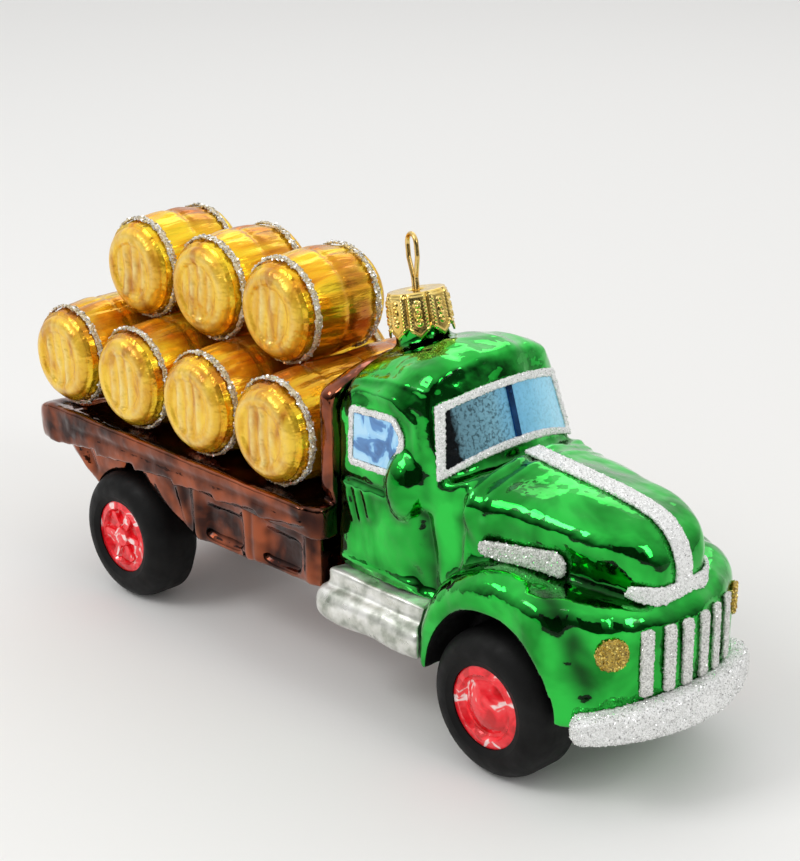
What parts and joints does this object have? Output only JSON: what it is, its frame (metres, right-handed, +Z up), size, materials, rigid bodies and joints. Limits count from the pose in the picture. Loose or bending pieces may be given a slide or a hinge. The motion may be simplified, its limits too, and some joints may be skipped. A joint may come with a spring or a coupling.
{
  "type": "glass truck christmas ornament",
  "caption": "Blown-glass tree ornament shaped as an old flat-bed truck stacked with barrels, with glitter trim, a turning metal cap and a sliding wire hanger loop.",
  "frame": {"origin": "centre of the bounding box's underside, on the floor plane under the tyres", "axes": "+X towards the truck's nose, +Y to the truck's left, +Z up"},
  "size_m": [0.1556, 0.046, 0.081],
  "materials": {
    "glass_green": "emerald lacquer over silvered glass, mirror bright",
    "glass_brown": "dark red-brown lacquer over silvered glass, mirror bright",
    "glass_amber": "amber-gold satin lacquer with darker overspray",
    "glass_black": "matt black paint on glass",
    "glass_red": "glossy red lacquer over silvered glass",
    "glass_blue": "blue lacquer over silvered glass, mirror bright",
    "glass_deep_blue": "deep blue lacquer over silvered glass",
    "glass_silver": "silver-pearl lacquer",
    "glitter_silver": "white-silver glitter bedded in clear glue",
    "glitter_gold": "gold glitter bedded in clear glue",
    "cap_gold": "thin stamped sheet, bright gold plated",
    "wire_gold": "spring wire, bright gold plated"
  },
  "bodies": {
    "truck": {"barrel_hoops": "glitter_silver", "barrel_left_1": "glass_amber", "barrel_left_2": "glass_amber", "barrel_left_3": "glass_amber", "barrel_left_4": "glass_amber", "barrel_right_1": "glass_amber", "barrel_right_2": "glass_amber", "barrel_right_3": "glass_amber", "barrel_right_4": "glass_amber", "barrel_top_1": "glass_amber", "barrel_top_2": "glass_amber", "barrel_top_3": "glass_amber", "bed_floor": "glass_brown", "bed_rail": "glass_brown", "belly": "glass_brown", "bonnet": "glass_green", "bonnet_trim": "glitter_silver", "bumper": "glitter_silver", "cab": "glass_green", "front_fender_left": "glass_green", "front_fender_right": "glass_green", "grille_bars": "glitter_silver", "headboard": "glass_brown", "headlamps": "glitter_gold", "mirror_bulge_left": "glass_green", "mirror_bulge_right": "glass_green", "nose_shell": "glass_green", "running_board_left": "glass_silver", "running_board_right": "glass_silver", "side_box_left": "glass_brown", "side_box_right": "glass_brown", "side_vents": "glitter_silver", "side_window_frames": "glitter_silver", "side_window_panes": "glass_blue", "tail_boxes": "glass_brown", "tyre_front_left": "glass_black", "tyre_front_right": "glass_black", "tyre_rear_left": "glass_black", "tyre_rear_right": "glass_black", "wheel_disc_front_left": "glass_red", "wheel_disc_front_right": "glass_red", "wheel_disc_rear_left": "glass_red", "wheel_disc_rear_right": "glass_red", "windscreen_frame": "glitter_silver", "windscreen_panes": "glass_blue", "windscreen_post": "glass_deep_blue"},
    "cap": {"cap": "cap_gold"},
    "hanger": {"hanger": "wire_gold"}
  },
  "joints": [
    {"name": "cap_turn", "type": "hinge", "parent": "truck", "child": "cap", "pos_m": [0.0115, 0, 0.0712], "axis": [-0.2079, 0, 0.9781], "continuous": true},
    {"name": "hanger_slide", "type": "slide", "parent": "cap", "child": "hanger", "axis": [-0.2079, 0, 0.9781], "range_m": [-0.002, 0.003]}
  ]
}
